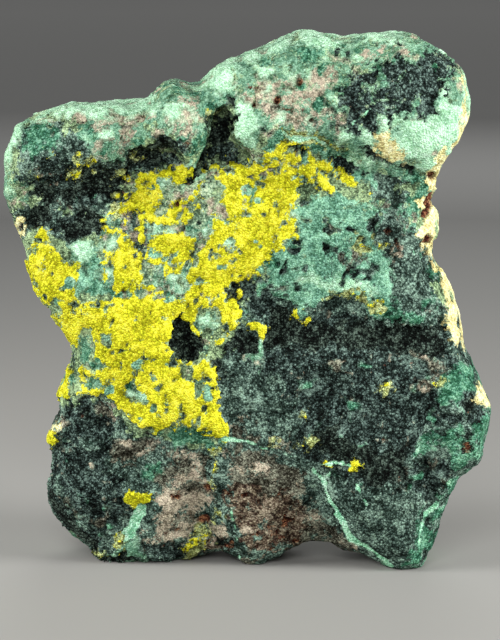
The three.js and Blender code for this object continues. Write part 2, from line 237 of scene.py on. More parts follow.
        [(-16.5, 55.5), (-14.5, 54), (-14, 51), (-14.5, 49), (-16, 48), (-17.5, 49.5), (-18.5, 54.5)],
        # above cleft
        [(-32.5, 59), (-32.5, 63.5), (-29.5, 66), (-26, 67.5), (-21.5, 67.5), (-18.5, 66), (-16.5, 63.5),
         (-14.5, 64.5), (-9, 64), (-9, 61), (-16.5, 59), (-16.5, 54), (-27.5, 54)],
        # left shoulder
        [(-24, 63.5), (-26, 61), (-30.5, 60.5), (-33, 58.5), (-35.5, 58.5), (-34.5, 62.5), (-34, 67),
         (-31.5, 67.5), (-27.5, 67.5), (-24.5, 66)],
    ],
    "turq": [
        # crust
        [(22, 40.5), (20.5, 39.5), (14.5, 42.5), (12, 42), (7, 39), (6, 40.5), (4.5, 41), (3, 42.5),
         (2, 48), (4.5, 49), (7, 51.5), (7, 53.5), (6, 54.5), (6.5, 55.5), (9, 57.5), (17.5, 56.5),
         (20, 55.5), (18.5, 50.5), (21, 47)],
        # thread band
        [(18.5, 58.5), (17, 57.5), (7.5, 64), (2.5, 62.5), (2, 65), (5, 67), (7.5, 65.5), (10, 65.5),
         (17, 61)],
        # band end
        [(-24, 42), (-25, 45), (-24.5, 48), (-23, 49), (-21, 48), (-19.5, 43), (-21.5, 42)],
        [(26.5, 59), (26.5, 57), (25, 56), (25.5, 53), (24, 51), (22.5, 51), (23, 53.5), (23, 55.5)],
        [(2, 59), (3, 58), (2.5, 56.5), (0, 55.5), (-0.5, 56.5), (0, 58.5)],
        [(-10, 47), (-8, 47), (-8.5, 45.5), (-9.5, 44.5), (-10.5, 44.5)],
    ],
    "pale": [
        # right face
        [(31, 75), (32, 69), (28.5, 61.5), (27.5, 60.5), (26, 60.5), (18.5, 63.5), (18, 65), (19.5, 66),
         (19.5, 67), (26.5, 68), (28.5, 73.5)],
        # left rim, mint crust with a painted highlight along it
        [(-22, 70.5), (-22.5, 69.5), (-31.5, 68), (-33, 67), (-35, 60), (-36.5, 59), (-34, 67.5),
         (-33, 68.5), (-24, 71)],
        # ridge's top rim, mint crust with a painted highlight along it
        [(-8, 68), (-15.5, 69), (-21.5, 68), (-23.5, 69), (-24, 70.5), (-20.5, 70), (-18, 71), (-14, 71),
         (-8.5, 69)],
        # column
        [(-2, 71), (-1, 71), (1.5, 68.5), (1, 63.5), (-2, 65.5)],
        # mid green
        [(17.5, 61), (15, 61.5), (12.5, 62.5), (12, 64), (13.5, 64.5), (13.5, 66.5), (16, 67), (18, 66.5),
         (18.5, 62.5)],
        [(-1, 54), (0.5, 55), (1.5, 54), (1.5, 52.5), (0.5, 52), (-1, 52.5)],
        [(-4, 50.5), (-3, 51), (-1.5, 50.5), (-2.5, 48.5)],
        [(-12, 59.5), (-11, 59.5), (-11, 56.5), (-11.5, 56.5)],
        [(-9, 44.5), (-6, 44.5), (-6, 43.5), (-8.5, 43.5)],
        [(22, 80), (14.5, 78.5), (14, 79.5), (17.5, 80.5)],
        # ridge end
        [(-1.5, 77.5), (-2, 73), (-1, 71.5), (-3, 71), (-5, 71.5), (-6, 73.5), (-4, 76)],
        # top edge, mint crust with a painted highlight along it
        [(-1, 77.5), (4.5, 78.5), (8.5, 81), (9.5, 80), (14, 79.5), (13, 78), (7.5, 79), (2, 76.5),
         (-0.5, 76.5)],
        [(18, 42.5), (9.5, 43.5), (7.5, 45), (9.5, 46), (11, 44.5), (17.5, 44)],
        [(-5, 58.5), (-3, 59.5), (-1, 59), (-1, 57.5), (-2.5, 57), (-4, 57.5)],
        [(-25.5, 49), (-24.5, 50), (-23, 50), (-23.5, 48), (-25, 47.5)],
    ],
    "teal": [
        [(-32, 56), (-34, 55), (-36, 56.5), (-36, 59.5), (-34.5, 60), (-32.5, 58)],
        # ridge mid
        [(-27, 70), (-24, 71), (-20.5, 70), (-18, 71), (-14, 71), (-10, 74), (-6, 74), (-4.5, 75), (-1, 72),
         (-1, 71), (-5.5, 69), (-6.5, 65.5), (-9, 65), (-11.5, 65.5), (-16.5, 63.5), (-17.5, 62),
         (-19.5, 61.5), (-24, 65)],
        # block top
        [(-2.5, 76.5), (0, 77.5), (7.5, 79), (14.5, 78.5), (14, 67.5), (11.5, 70.5), (10.5, 73), (7, 73.5),
         (2, 73.5), (-1, 72.5), (-2, 73.5)],
        # block left
        [(10, 67.5), (10, 67), (3, 67), (1.5, 63.5), (-0.5, 63.5), (-1, 65), (-1, 70), (2, 69.5),
         (4.5, 68)],
        # top right
        [(31, 76), (31, 75.5), (27, 77), (22, 76.5), (15, 72), (14.5, 75), (14.5, 78), (14, 79),
         (17.5, 80.5), (25, 80.5), (26.5, 80), (27.5, 78.5)],
        [(17, 61), (18.5, 62.5), (23.5, 61), (25.5, 60), (26.5, 57.5), (25, 56), (24, 56), (24, 58.5),
         (21.5, 60)],
        # middle
        [(-15.5, 42), (-24, 42), (-24.5, 45), (-24, 47), (-21, 51), (-21, 54), (-20, 55.5), (-18, 55),
         (-19, 53), (-19, 51), (-20.5, 50.5), (-23, 47), (-21, 47.5), (-19.5, 46), (-19, 44), (-16, 43.5)],
        # middle right
        [(-5, 52.5), (-5.5, 50.5), (-7, 49), (-10, 51.5), (-13, 51.5), (-14.5, 50.5), (-15, 51.5),
         (-14.5, 53.5), (-13, 53.5)],
        # band end
        [(-14.5, 47), (-12.5, 47), (-10.5, 45.5), (-8.5, 46), (-9, 44), (-6, 44.5), (-6, 43), (-8.5, 41),
         (-10.5, 42), (-14.5, 44)],
        [(2, 34.5), (1.5, 36), (-1, 38), (-1, 41), (0.5, 41), (0, 39), (2.5, 38.5)],
        [(1.5, 31.5), (-0.5, 33), (1.5, 34), (1.5, 36), (2, 36), (2.5, 33)],
        [(-14.5, 46), (-9, 45), (-9, 42.5), (-11.5, 42), (-14, 42.5), (-14.5, 44.5)],
        # block base
        [(32, 69.5), (28, 61), (19, 60.5), (2, 64.5), (-1, 63.5), (-2.5, 77), (7.5, 80.5), (14.5, 80),
         (22, 81), (27.5, 79), (31.5, 75)],
        [(-21.5, 3), (-17, 5.5), (-15, 2.5)],
        [(-25, 42), (-25.5, 43.5), (-24.5, 45), (-25, 47), (-26.5, 47.5), (-26, 49.5), (-22.5, 50.5),
         (-22, 49), (-24.5, 46), (-23.5, 42)],
    ],
    "green": [
        # knob
        [(33, 32), (35.5, 27.5), (36, 25), (34, 17.5), (30.5, 15.5), (29.5, 16.5), (30, 19), (28, 20.5),
         (23, 16.5), (25, 22), (30.5, 22.5), (31, 25), (28, 25.5), (27, 27.5), (28.5, 30.5), (31, 32.5)],
        # edge strip
        [(31.5, 15), (27.5, 7.5), (27.5, 4.5), (25, 1), (23.5, 1), (25, 8), (30, 15)],
        [(-5.5, 67), (-5, 65.5), (-8, 61), (-9, 61), (-9.5, 62.5), (-9.5, 63.5), (-11, 65), (-6.5, 66)],
        # below body
        [(-13.5, 22), (-9.5, 23), (-4, 21), (-5, 19.5), (-7.5, 19), (-10.5, 20)],
        [(3.5, 49), (4.5, 48), (3.5, 43.5), (8.5, 40.5), (7, 40), (3.5, 42), (2, 48)],
        [(27, 47), (28, 46.5), (28, 39.5), (27, 38), (23.5, 37.5), (23, 39), (25.5, 39.5), (27, 42)],
        [(-21.5, 31.5), (-23, 31), (-24.5, 32.5), (-24.5, 34.5), (-23.5, 35), (-23, 32.5)],
        [(-21, 47.5), (-19.5, 47), (-19.5, 44), (-18.5, 42), (-20.5, 42), (-21, 44), (-20, 45.5)],
        [(24, 53.5), (23, 55.5), (24, 59), (26, 60), (26.5, 58.5), (25.5, 57), (25, 54.5)],
        [(-15.5, 17), (-13.5, 17.5), (-13, 16), (-14, 15), (-15.5, 15)],
        [(-20.5, 63.5), (-22, 63.5), (-25.5, 65.5), (-25, 67), (-24, 67.5), (-21.5, 65), (-20, 64.5)],
        # under block
        [(17, 60.5), (14.5, 60.5), (9.5, 64), (5, 64), (3, 63), (1.5, 64.5), (2.5, 67), (7.5, 67.5),
         (7, 66.5), (5, 66), (7.5, 65), (10, 65.5)],
        [(-2.5, 71.5), (-3, 70.5), (-5.5, 68), (-6.5, 69.5), (-6, 71.5)],
        [(23.5, 38), (21, 38), (17, 40.5), (18, 41.5), (20, 41)],
        # shoulder shade
        [(-27, 65.5), (-27.5, 63.5), (-31.5, 62.5), (-32.5, 63.5), (-33, 66), (-31, 67), (-28.5, 67)],
    ],
    "brown": [
        # bottom
        [(-0.5, 2.5), (-1.5, 5.5), (-2.5, 10.5), (-1.5, 14.5), (-3.5, 16.5), (-3.5, 18), (2, 19),
         (7.5, 17.5), (8.5, 14), (9, 9.5), (8, 6.5), (3.5, 3.5)],
        # bottom left
        [(-13.5, 12), (-13, 15), (-10, 19.5), (-7.5, 19.5), (-6, 17.5), (-5.5, 14), (-6.5, 11), (-9.5, 11)],
        # under edge
        [(15.5, 5), (14.5, 4), (10, 5), (7, 4.5), (7.5, 9.5), (10, 10.5)],
        [(13, 51), (15, 52), (17.5, 49.5), (16.5, 47.5), (14, 47.5)],
        [(19.5, 51), (22, 51), (22.5, 49.5), (22, 48.5), (20, 49)],
        [(20, 33), (22, 33), (24, 30), (22, 29.5), (20, 31.5)],
        [(15, 30), (13, 29.5), (10, 31.5), (9.5, 35), (11, 35.5), (12.5, 32.5)],
        [(5, 65), (8, 65.5), (8.5, 64), (7, 63.5), (5, 64)],
        [(-23, 26.5), (-20.5, 26.5), (-19, 24.5), (-20.5, 23.5), (-22.5, 24)],
        [(-1.5, 22.5), (6, 21), (5, 19.5), (-1, 21)],
        # grey brown
        [(-13, 19.5), (-14.5, 17.5), (-20.5, 16.5), (-21, 20), (-15, 21.5)],
    ],
    "tan": [
        # pink high
        [(-2, 72.5), (6.5, 73.5), (10.5, 72.5), (11, 69.5), (10.5, 67.5), (6.5, 67), (3, 67.5), (1, 69),
         (-1, 69.5)],
        [(23.5, 79), (23.5, 77), (18, 77), (15, 74.5), (15, 76.5), (17, 78.5), (19.5, 79)],
        [(10.5, 76.5), (13, 76.5), (14, 74.5), (13, 73), (12, 72.5), (10, 73.5)],
        [(-12.5, 68.5), (-10, 69), (-8.5, 67.5), (-7.5, 65.5), (-8.5, 64.5), (-10, 65.5), (-12, 66.5)],
        [(-22.5, 66.5), (-20, 67), (-19, 65), (-22, 65)],
        # low left
        [(-15, 4.5), (-14.5, 7.5), (-13, 10), (-14, 12.5), (-10, 13.5), (-6.5, 11.5), (-8.5, 5.5)],
        [(-6, 8), (-4, 8), (-2.5, 6.5), (-4, 5.5), (-6.5, 5.5)],
        [(-1, 58.5), (0, 59), (0.5, 57), (0, 55), (-1, 55.5)],
        [(-14.5, 68), (-13, 68.5), (-12.5, 66.5), (-13.5, 66)],
        [(-9.5, 70.5), (-8, 70.5), (-8, 68.5), (-9, 69)],
        [(-9.5, 57.5), (-8, 58), (-8.5, 55), (-10, 55.5)],
        [(-29.5, 61), (-27.5, 61), (-27.5, 58.5), (-29.5, 59)],
        [(-22.5, 69), (-20.5, 69), (-19, 68), (-20, 67), (-22, 68)],
    ],
    "cream": [
        # strip
        [(31, 33.8), (30.1, 34.4), (29.1, 37.6), (28, 43.7), (28, 45.6), (26.6, 47.8), (25.7, 50.4),
         (23.8, 50.7), (25.3, 53), (25, 54.8), (24.2, 55.9), (27, 57.7), (28, 54), (27.9, 52.1),
         (27.3, 50.7), (27.2, 48.6), (28.5, 47.1), (29.4, 45), (30.7, 39.3)],
        [(22.9, 61.7), (21.1, 61.8), (18.2, 63.6), (18.6, 65.3), (19.6, 66.5), (20.5, 65.2), (23.1, 63.3)],
        [(36, 25.4), (35.1, 25.7), (34, 27.2), (33.7, 28.7), (34.6, 29), (35.5, 27.8)],
        # edge high
        [(31, 75.2), (31.9, 72), (32.2, 68.9), (28.7, 61.7), (28.4, 60.2), (27, 57.7), (26.1, 58.3),
         (25.9, 60.6), (27.2, 62.1), (27.8, 63.8), (29.2, 64.1), (31.5, 68.9), (31.2, 72), (30.6, 74)],
        [(-33.8, 53), (-33, 53.3), (-33, 51.8), (-33.6, 51.7)],
    ],
    "rust": [
        [(26, 57.3), (27, 57.4), (27.3, 55.7), (26.6, 54.5), (25.8, 55.5)],
        [(5.1, 69.7), (6.3, 69.5), (6.2, 69.2), (5.3, 69.4)],
        [(-11.3, 12.3), (-10, 12.3), (-10, 11.5), (-11.2, 11.7)],
        [(31.9, 20), (32.6, 20.4), (32.9, 19.1), (32.4, 18.5)],
        [(20.9, 50.9), (21.8, 50.8), (22.1, 48.6), (21.2, 49.2)],
    ],
    # Deeper black in the cleft, the gash, the pits, under the crust's edge, in the low black field and at
    # the lobe's edge: black mineral with painted shade laid into its colour
    "deep": [
        # cleft
        [(-31.5, 56.5), (-31.5, 58), (-29, 57.5), (-25, 58.5), (-25.5, 60.5), (-27.5, 61.5), (-24.5, 61),
         (-20.5, 61), (-18.5, 61.5), (-17, 63.5), (-13.5, 64.5), (-11.5, 64.5), (-11, 63.5), (-13, 61),
         (-16.5, 61), (-17, 57.5), (-18.5, 56.5), (-24, 57), (-26.5, 55), (-27.5, 56.5), (-29.5, 55.5)],
        [(-2, 71), (-2, 65), (-3.5, 64), (-5, 64.5), (-5.5, 66.5), (-5, 68), (-3, 69.5), (-2.5, 71.5)],
        [(-10, 58.5), (-10, 60), (-6, 62.5), (-5.5, 61.5), (-6.5, 60.5), (-9, 58.5)],
        # pit
        [(-10, 39.5), (-8.5, 38), (-8.5, 36.5), (-7, 36), (-7.5, 32.5), (-8.5, 32.5), (-9.5, 31.5),
         (-11.5, 34.5), (-11.5, 36)],
        # field top
        [(29, 34.5), (26.5, 33), (19.5, 34.5), (15, 34), (12, 35), (4.5, 34), (2.5, 34.5), (3, 40.5),
         (6, 40.5), (7.5, 38), (27, 37.5), (27.5, 38.5)],
        # field low
        [(9.5, 21), (13, 22), (15.5, 19.5), (19, 19.5), (22, 20), (24, 19.5), (23.5, 17.5), (24.5, 16),
         (24, 14), (21, 13), (18.5, 13.5), (17, 15), (16.5, 16.5), (10, 18)],
        [(-5, 31), (-5.5, 33), (-1, 37.5), (1.5, 35.5), (1, 34), (-1, 34), (-2.5, 34.5), (-4.5, 33.5),
         (-4, 32)],
        [(-33, 54), (-31, 55.5), (-29.5, 55), (-29, 53.5), (-30.5, 52), (-32.5, 52.5)],
        [(-27.5, 53), (-25.5, 52.5), (-24.5, 55), (-22.5, 54.5), (-21.5, 53), (-22, 51.5), (-24.5, 51),
         (-27, 51)],
        [(-14, 53), (-12.5, 53.5), (-11.5, 53), (-11.5, 52.5), (-13.5, 52.5)],
        [(-28, 26.5), (-26.5, 26.5), (-26.5, 24), (-28, 24)],
        [(-25.5, 25.5), (-23.5, 25.5), (-23.5, 23.5), (-25.5, 23.5)],
        [(-28.5, 22), (-27, 21.5), (-27.5, 19), (-28.5, 19)],
        # lobe edge
        [(-16, 2.5), (-18, 2), (-21.5, 2), (-27.5, 7), (-30, 10.5), (-30.5, 14), (-29.5, 15.5), (-28, 10.5),
         (-22.5, 5), (-22, 3)],
        [(33, 18), (31.5, 21), (32.5, 21.5), (33.5, 20.5)],
        [(-4.5, 5.5), (-2.5, 5.5), (-1.5, 4), (-3.5, 3.5), (-4, 4)],
        [(-3, 45), (-1, 45), (-0.5, 43), (-2, 41.5), (-2.5, 42.5)],
        [(5.5, 64), (7.5, 64), (8.5, 63.5), (7, 63), (5.5, 63.5)],
        [(23.5, 61), (23.5, 60.5), (19.5, 62), (18, 62.5), (17.5, 63.5), (18.5, 63)],
    ],
    "umber": [
        # bottom
        [(-2.5, 12.5), (-0.5, 13.5), (2.5, 12.5), (7, 13), (8, 11), (8, 7), (7, 5.5), (3.5, 3.5), (0, 3.5),
         (-1.5, 5.5), (-2.5, 10.5)],
        [(-6.5, 5.5), (-4, 6), (-2, 5), (-2, 3.5), (-6.5, 3.5)],
    ],
    "vein": [
        [(-15, 10.9), (-15.2, 9.5), (-16, 8.3), (-17.2, 5.7), (-18.4, 5.3), (-18, 6.2), (-18.9, 6.5),
         (-17.8, 7.7), (-16.2, 10.8)],
    ],
}

# Small round spots of the minerals, each an X, a Z and a radius
SPOTS = {
    "yellow": [(-20.2, 51.5, 0.4), (15.6, 16.5, 0.5)],
    "ochre": [(-29, 62.2, 0.6), (-19.7, 54.9, 0.7), (-29.7, 64.2, 0.4), (-30.9, 59.4, 0.3),
        (16.1, 50.3, 0.9), (-4.7, 8.8, 0.8), (3.6, 20.5, 0.8), (8.9, 20, 0.5), (7.9, 24.2, 0.5),
        (28.5, 29.1, 0.7), (20.2, 28, 0.6), (-15.9, 62.1, 0.5)],
    "black": [(12.9, 77.6, 0.6), (14.3, 77.8, 0.4), (5.3, 45.8, 0.6), (14.8, 52.1, 0.6), (2.8, 66.2, 0.8),
        (13.5, 72.6, 0.6), (6.8, 48.8, 0.8)],
    "pale": [(-8.4, 42.1, 0.9), (-15.3, 27, 0.7), (-8.3, 61.1, 0.8)],
    "brown": [(-22.5, 66.8, 0.7)],
    "tan": [(-17.9, 66, 1), (-29.5, 67.9, 0.6), (-16.9, 67.8, 0.8), (-21.2, 63.9, 0.7)],
    "cream": [(-28.2, 22.5, 0.6)],
    "rust": [(25.8, 54.2, 0.8), (26.3, 50.3, 0.5), (26.8, 59.8, 0.5), (4.1, 70.8, 0.4), (7.4, 73.4, 0.4),
        (9.1, 67.8, 0.3), (13.9, 74, 0.3), (18.5, 78.7, 0.3), (-6.2, 13.3, 0.4), (-6.7, 8.5, 0.8),
        (20.3, 51.4, 0.6)],
    # The knob's hole: black mineral with painted shade
    "deep": [(32.7, 25.8, 0.9)],
}

# Gaps in the yellow crust where the teal one shows
YELLOW_GAPS = [
    [(-8.3, 38.2), (-6.5, 40), (-4.6, 39.9), (-3.9, 38.2), (-4.5, 36.1), (-7.7, 37)],
    [(-21.4, 36.7), (-20, 36.6), (-19.9, 34.8), (-21.2, 35.1)],
    [(-9.5, 31.7), (-8.1, 31.1), (-8.6, 29.4), (-9.5, 29.9)],
    [(-8, 29.6), (-6.7, 29.6), (-6.5, 27.5), (-7.7, 26.7)],
    [(-14.6, 26.1), (-13.3, 26.1), (-13.6, 24.8), (-14.6, 24.8)],
    [(-20.6, 31.7), (-22.4, 30.8), (-24.7, 32), (-24.7, 36.7), (-23.2, 37), (-22.2, 34.8), (-22.9, 32.6)],
    [(-23.3, 30.2), (-21.8, 29.9), (-20.9, 28.4), (-22.7, 28.1), (-24.2, 28.7)],
    [(-18.9, 29.3), (-16.8, 29.6), (-15.9, 28.1), (-14.5, 27.8), (-14.8, 26), (-18.3, 27.2)],
    [(-7.1, 35.8), (-5.6, 35.5), (-5.9, 33.3), (-7.1, 33.5)],
    [(-26.8, 30.5), (-25, 30.5), (-24.4, 28.4), (-25.9, 27.8)],
    [(-28.7, 42.1), (-27.3, 41.8), (-27.3, 40), (-28.4, 40.3)],
]

# Thin veins: the width in mm and the line that each follows
VEINS = [
    (0.18, [(-3.9, 20.9), (0.5, 20.1), (2, 19.4), (4.6, 18.8), (8.5, 17.3), (10.5, 16.8), (12.9, 17),
        (15, 16.7)]),
    (0.23, [(5, 66.2), (6, 65.5), (7.5, 65.2), (9.4, 65.3), (11.1, 64.3), (12.4, 63.1)]),
    (0.53, [(9.5, 16.1), (10.9, 14.7), (11.3, 13), (12.2, 10.9), (13.5, 8.5), (14.9, 6.5), (16.2, 5.1)]),
    (0.5, [(10.9, 14.7), (12.2, 15.7)]),
    (0.23, [(15.9, 13.9), (17.5, 10.9)]),
    (0.23, [(-2.6, 10.3), (-1.6, 5.4), (-1.3, 3)]),
    (0.37, [(23.2, 17), (24.7, 18.2), (25.3, 20.3)]),
    (0.35, [(16.5, 5.1), (21.3, 1.2)]),
    (0.29, [(15.9, 56.8), (18.9, 54.5)]),
    (0.23, [(23.7, 49.6), (24.6, 47.7)]),
    (0.12, [(1.8, 35.5), (1.8, 33.5)]),
    (0.2, [(15, 67.3), (17.7, 69.5)]),
    (0.44, [(2, 59.8), (1.1, 58.3), (0.5, 56.8), (0.2, 55.4)]),
    (0.23, [(30, 14.8), (27.9, 10.8), (26.5, 9.4), (25.7, 7.3), (25.4, 4.5)]),
    (0.95, [(12.9, 9.4), (15, 6.2), (16.1, 5.1)]),
]

# Cracks, in the same way
CRACKS = [
    (0.23, [(-5.8, 72.7), (-4.7, 72.3), (-4, 71.6)]),
    (0.22, [(10.3, 71.7), (11.2, 70.3), (12.4, 69.4)]),
    (0.44, [(-1.5, 13.9), (-2.7, 12.1)]),
    (0.23, [(-6.3, 18), (-5.1, 17.3)]),
    (0.29, [(-24.3, 46.4), (-23.4, 45)]),
]

# What lies over what, from the bare rock up. Each mineral has, in this order:
#   height   how far its top stands above the bare rock, in mm
#   lumps    height of its rounded lumps, rough the height of its uneven ground, grain of its grains
#   patchy   how far inside its edge, in mm, it still breaks up into islands
#   fray     how ragged its edge is, and sharp how sudden
#   tones    five colours from its darkest places to its lightest, as they look on a screen
Mineral = collections.namedtuple("Mineral", "height lumps rough grain patchy fray sharp tones")
MINERALS = {
    "rock": Mineral(0.0, 0.35, 0.35, 0.12, 9, 1, 6,
        [(37, 52, 34), (86, 106, 77), (118, 140, 104), (145, 169, 126), (183, 207, 154)]),
    "mottle": Mineral(0.1, 0.2, 0.3, 0.12, 1.5, 1.5, 2,
        [(64, 85, 66), (108, 136, 110), (140, 168, 136), (170, 194, 157), (202, 219, 184)]),
    "darkgreen": Mineral(0.0, 0.4, 0.35, 0.14, 3, 1.8, 2,
        [(5, 13, 9), (37, 51, 44), (60, 79, 71), (91, 111, 99), (136, 165, 145)]),
    "brown": Mineral(0.0, 0.5, 0.3, 0.16, 1.6, 1.7, 2,
        [(12, 11, 3), (54, 53, 43), (81, 81, 70), (107, 109, 93), (145, 147, 128)]),
    "umber": Mineral(-0.1, 0.4, 0.35, 0.18, 1.6, 1.7, 2,
        [(18, 12, 6), (59, 46, 37), (88, 75, 60), (117, 106, 88), (164, 150, 131)]),
    "teal": Mineral(0.2, 0.3, 0.25, 0.08, 1.4, 1.3, 1.5,
        [(58, 95, 73), (86, 126, 101), (101, 142, 117), (118, 160, 130), (143, 183, 152)]),
    "tan": Mineral(0.15, 0.2, 0.2, 0.12, 1.2, 1.7, 1.5,
        [(98, 92, 74), (139, 132, 113), (163, 153, 132), (179, 167, 146), (201, 189, 165)]),
    "turq": Mineral(0.55, 0.15, 0.25, 0.12, 1.2, 1, 2.5,
        [(49, 89, 70), (82, 125, 103), (101, 148, 123), (121, 169, 139), (144, 191, 160)]),
    "green": Mineral(0.2, 0.25, 0.25, 0.1, 1.2, 1.3, 1.5,
        [(17, 55, 38), (44, 87, 66), (64, 112, 87), (88, 138, 111), (124, 172, 138)]),
    "pale": Mineral(0.3, 0.35, 0.3, 0.08, 1.4, 0.9, 1.2,
        [(113, 158, 124), (144, 188, 153), (161, 204, 169), (174, 214, 180), (191, 225, 196)]),
    "black": Mineral(-0.35, 0.2, 0.3, 0.2, 2.0, 1.3, 3,
        [(1, 1, 1), (20, 30, 26), (42, 54, 50), (68, 85, 79), (116, 140, 127)]),
    # Black mineral with painted shade laid into it, for the cleft, the pits and other shaded hollows
    "deep": Mineral(-0.5, 0.2, 0.3, 0.2, 1.6, 1.2, 2,
        [(1, 1, 1), (8, 14, 10), (26, 34, 30), (48, 60, 52), (94, 111, 98)]),
    "cream": Mineral(0.2, 0.2, 0.25, 0.08, 1.5, 0.8, 3,
        [(152, 142, 90), (200, 192, 129), (220, 214, 152), (225, 222, 168), (227, 226, 189)]),
    "ochre": Mineral(0.2, 0.1, 0.2, 0.12, 0.8, 1.2, 2,
        [(56, 61, 31), (108, 116, 65), (146, 156, 96), (182, 192, 127), (214, 224, 159)]),
    "yellow": Mineral(0.6, 0.2, 0.25, 0.16, 1.0, 0.8, 6,
        [(129, 130, 14), (166, 166, 25), (193, 189, 35), (209, 204, 45), (221, 216, 70)]),
    "rust": Mineral(-0.4, 0.0, 0.2, 0.1, 0.6, 0.4, 3,
        [(26, 10, 6), (54, 28, 18), (84, 48, 34), (124, 76, 54), (180, 124, 92)]),
    "vein": Mineral(0.1, 0.0, 0.15, 0.08, 1.0, 0.3, 6,
        [(95, 156, 122), (132, 194, 156), (156, 214, 176), (178, 228, 193), (202, 240, 212)]),
}
LAYERS = list(MINERALS)[1:]  # all that lie on the bare rock

# Smaller patches of one mineral inside another: the host, the guest, the patches' size in mm, and
# how rare they are. They are made in this order, so a guest can be the host of a later row.
INCLUSIONS = [
    ("yellow", "turq", 2.0, 0.36),
    ("yellow", "darkgreen", 1.1, 0.38),
    ("cream", "tan", 1.6, 0.4),
    ("black", "green", 1.5, 0.46),
    ("black", "brown", 3.2, 0.46),
    ("black", "tan", 0.9, 0.56),
    ("pale", "teal", 3.0, 0.27),
    ("pale", "tan", 1.8, 0.48),
    ("teal", "pale", 2.2, 0.42),
    ("teal", "green", 2.6, 0.3),
    ("teal", "tan", 2.2, 0.4),
    ("teal", "darkgreen", 1.2, 0.42),
    ("green", "darkgreen", 2.2, 0.22),
    ("turq", "darkgreen", 1.4, 0.33),
    ("turq", "brown", 2.4, 0.48),
    ("tan", "brown", 1.2, 0.3),
    ("umber", "rust", 0.9, 0.36),
    ("brown", "tan", 2.0, 0.32),
    ("mottle", "yellow", 1.2, 0.24),
    ("mottle", "pale", 1.6, 0.3),
    ("mottle", "tan", 1.4, 0.3),
    ("mottle", "darkgreen", 1.2, 0.35),
    ("tan", "rust", 0.8, 0.5),
    ("ochre", "yellow", 0.8, 0.25),
]
INCLUSION_SEED = 81
INCLUSION_SLOPE = 1.5  # how fast a patch gets deeper, for its size

# Patches on the walls and the back, which no outline reaches: their size in mm, how common they
# are, where 0 is half of the ground, and the seed of their noise
BACK_PATCHES = {
    "brown": (14, 0.05, 31),
    "darkgreen": (11, -0.1, 32),
    "black": (9, -0.42, 33),
    "green": (8, -0.5, 34),
    "pale": (10, -0.5, 35),
    "tan": (7, -0.62, 36),
    "ochre": (4, -0.85, 37),
    "teal": (12, -0.2, 38),
}
BACK_SLOPE = 4  # how fast such a patch gets deeper, in mm
PALE_START = 66  # from this height up the pale crust is more common,
PALE_RISE = 20  # by 1 over so many mm,
PALE_LIMIT = 0.6  # but by no more than this

# The line between the outlines and the back's patches, by how far the surface faces the camera
SEEN_LIMIT = -0.15
SEEN_WANDER = 0.12
SEEN_WIDTH = 0.25
RIM_LIMIT = 0.3  # surfaces that face the camera less than this have what lies inside the rim,
RIM_REACH = 2.5  # up to this many mm away

RAGGED_SIZE = 2.4  # of the noise that frays the minerals' edges
RAGGED_REACH = 1.3

# Where the five tones lie on a layered noise, which is 0.5 on average
TONE_PLACES = (0.32, 0.44, 0.5, 0.56, 0.68)
# The size in mm and the start of that noise, for the even and the odd minerals
TONE_NOISES = ((3.2, (0, 0, 0)), (2.6, (40, 70, 20)))
GRAIN_CONTRAST = 0.17  # how far one grain's tone may lie from the next one's, on the same scale
# Painted shade: the tones are made darker in the gaps between the grains
PAINTED_GAP_SHADE = 0.2  # how much darker it is between the grains
FINE_GRAIN = 0.3  # the size in mm of the grains that are only coloured, and not carved
FINE_RELIEF = 0.13  # their height
FINE_FRAY_SIZE = 0.5  # of the noise that frays the edges of the colours
FINE_FRAY = 1.6
NOISE_RELIEF = 3.0  # how much more the tone noise raises the surface than those grains do
HUE_SPREAD = 0.03  # between the grains
# Painted shade and highlight: the colour is darker for each mm that a point lies below its smoothed
# surroundings and lighter where it stands above them, within the two limits below
PAINTED_HOLLOW_SHADE = 0.55  # how much darker it is for each mm of hollow
DARKEST_PAINTED_SHADE = 0.35
BRIGHTEST_PAINTED_HIGHLIGHT = 1.25


# Noise


def lattice_random(cell, seed):
    """A repeatable number from 0 to 1 for every row of whole numbers."""
    key = cell.astype(np.uint64)
    mixed = key[:, 0] * np.uint64(73856093) ^ key[:, 1] * np.uint64(19349663)
    mixed ^= key[:, 2] * np.uint64(83492791) ^ np.uint64(seed * 2654435761)
    for factor in (2246822519, 3266489917):
        mixed ^= mixed >> np.uint64(15)
        mixed = mixed * np.uint64(factor) & np.uint64(0xFFFFFFFF)
    return (mixed ^ mixed >> np.uint64(16)).astype(float) / 0xFFFFFFFF


def on_grid(points, size):
    """Each point's place on a grid of cells of that size, and the cell that it is in."""
    place = points / size + 1000  # so that no cell has a negative number
    return place, np.floor(place).astype(np.int64)


def eased(share):
    """A share from 0 to 1 that starts and ends gently."""
    return share * share * (3 - 2 * share)


def smooth_noise(points, size, seed):
    """Rolling ground from -1 to 1 whose lumps have that size in mm."""
    place, cell = on_grid(points, size)
    part = eased(place - cell)
    total = np.zeros(len(points))
    for corner in itertools.product((0, 1), repeat=3):
        weight = np.prod(np.where(np.array(corner) == 1, part, 1 - part), axis=1)
        total += weight * lattice_random(cell + np.array(corner), seed)
    return 2 * total - 1


def layered_noise(points, size, seed, layers=3, fall=0.5):
    """Smooth noise with finer noise on top, each layer that much weaker, from about -1 to 1."""
    total = np.zeros(len(points))
    for layer in range(layers):
        total += fall ** layer * smooth_noise(points, size / 2 ** layer, seed + layer)
    return total / 1.5


def nearest_lump(points, size, seed):
    """Distance to the middle of the nearest of many scattered lumps, in lump sizes."""
    place, cell = on_grid(points, size)
    nearest = np.full(len(points), 9.0)
    for neighbour in itertools.product((-1, 0, 1), repeat=3):
        there = cell + np.array(neighbour)
        middle = there + np.stack([lattice_random(there, seed + axis) for axis in range(3)], axis=1)
        nearest = np.minimum(nearest, np.linalg.norm(place - middle, axis=1))
    return nearest


